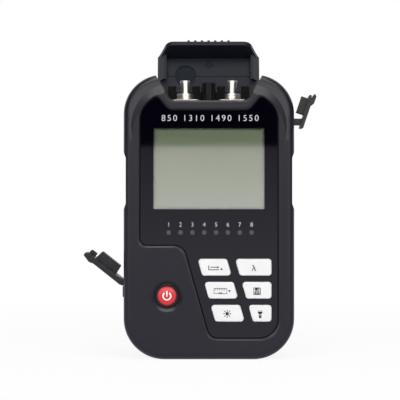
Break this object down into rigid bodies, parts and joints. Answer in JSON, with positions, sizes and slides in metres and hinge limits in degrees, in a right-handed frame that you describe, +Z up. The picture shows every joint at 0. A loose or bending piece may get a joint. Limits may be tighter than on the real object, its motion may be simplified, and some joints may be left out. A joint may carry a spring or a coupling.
{
  "type": "optical power meter",
  "caption": "Handheld optical power meter with a display, white keys, a red power button, an open port cover over two optical ports and rubber socket flaps.",
  "frame": {"origin": "centre of the flat base face that the meter stands on", "axes": "+Z up through the port bay, -Y out of the display and keys, +X to the right as seen from the front"},
  "size_m": [0.1034, 0.0414, 0.1439],
  "materials": {
    "case_plastic": "fine matte moulded plastic, near black",
    "cover_plastic": "fine matte moulded plastic, near black",
    "deck_plastic": "matte black plastic",
    "panel_gloss": "glossy black panel with white print",
    "window_clear": "clear flat window",
    "display_face": "grey-green unlit display",
    "backlight_white": "white light box",
    "dot_lens": "dark grey translucent lens",
    "led_chip": "pale yellow chip",
    "key_white": "satin white with black print",
    "button_red": "red with a white sign",
    "ring_black": "glossy black",
    "board_green": "green solder mask",
    "switch_black": "matte black",
    "battery_wrap": "blue wrap",
    "pin_steel": "plain steel",
    "screw_steel": "plain steel",
    "flange_brass": "pale brass",
    "port_nickel": "bright nickel plate",
    "sleeve_ceramic": "white zirconia",
    "module_metal": "plain metal can",
    "torch_black": "glossy black",
    "torch_clear": "clear resin",
    "socket_black": "matte black",
    "contact_gold": "gold plate",
    "socket_metal": "tin plate",
    "flap_rubber": "soft black rubber"
  },
  "bodies": {
    "case": {"front_case": "case_plastic", "rear_case": "case_plastic", "port_deck": "deck_plastic", "front_panel": "panel_gloss", "display_window": "window_clear", "lcd_module": "display_face", "backlight": "backlight_white", "dot_lenses": "dot_lens", "indicator_leds": "led_chip", "power_ring": "ring_black", "main_board": "board_green", "tact_switches": "switch_black", "controller_chip": "switch_black", "buzzer": "switch_black", "battery_pack": "battery_wrap", "hinge_pin": "pin_steel", "case_screws": "screw_steel", "source_flange": "flange_brass", "meter_flange": "flange_brass", "source_ring_nut": "port_nickel", "meter_ring_nut": "port_nickel", "source_barrel": "port_nickel", "meter_barrel": "port_nickel", "source_sleeve": "sleeve_ceramic", "meter_sleeve": "sleeve_ceramic", "laser_module": "module_metal", "photodiode": "module_metal", "torch_tube": "torch_black", "torch_led": "torch_clear", "network_socket": "socket_black", "network_contacts": "contact_gold", "charge_tongue": "contact_gold", "charge_socket": "socket_metal", "network_flap_strap": "flap_rubber"},
    "cover": {"port_cover": "cover_plastic"},
    "network_flap_body": {"network_flap": "flap_rubber"},
    "charge_flap_body": {"charge_flap": "flap_rubber"},
    "power_key": {"power_button": "button_red"},
    "reference_key": {"key_reference": "key_white"},
    "wavelength_key": {"key_wavelength": "key_white"},
    "network_key": {"key_network": "key_white"},
    "save_key": {"key_save": "key_white"},
    "backlight_key": {"key_backlight": "key_white"},
    "torch_key": {"key_torch": "key_white"}
  },
  "joints": [
    {"name": "cover_hinge", "type": "hinge", "parent": "case", "child": "cover", "pos_m": [0, 0.013, 0.1197], "axis": [1, 0, 0], "range_deg": [0, 105]},
    {"name": "network_flap_hinge", "type": "hinge", "parent": "case", "child": "network_flap_body", "pos_m": [-0.0383, -0.002, 0.0333], "axis": [0, 1, 0], "range_deg": [-35, 51.5]},
    {"name": "charge_flap_hinge", "type": "hinge", "parent": "case", "child": "charge_flap_body", "pos_m": [0.0391, -0.00615, 0.0955], "axis": [0, 1, 0], "range_deg": [-18.7, 4]},
    {"name": "reference_press", "type": "slide", "parent": "case", "child": "reference_key", "axis": [0, 1, 0], "range_m": [0, 0.0005], "stiffness_N_per_m": 400},
    {"name": "wavelength_press", "type": "slide", "parent": "case", "child": "wavelength_key", "axis": [0, 1, 0], "range_m": [0, 0.0005], "stiffness_N_per_m": 400},
    {"name": "network_press", "type": "slide", "parent": "case", "child": "network_key", "axis": [0, 1, 0], "range_m": [0, 0.0005], "stiffness_N_per_m": 400},
    {"name": "save_press", "type": "slide", "parent": "case", "child": "save_key", "axis": [0, 1, 0], "range_m": [0, 0.0005], "stiffness_N_per_m": 400},
    {"name": "backlight_press", "type": "slide", "parent": "case", "child": "backlight_key", "axis": [0, 1, 0], "range_m": [0, 0.0005], "stiffness_N_per_m": 400},
    {"name": "torch_press", "type": "slide", "parent": "case", "child": "torch_key", "axis": [0, 1, 0], "range_m": [0, 0.0005], "stiffness_N_per_m": 400},
    {"name": "power_press", "type": "slide", "parent": "case", "child": "power_key", "axis": [0, 1, 0], "range_m": [0, 0.0005], "stiffness_N_per_m": 400}
  ]
}
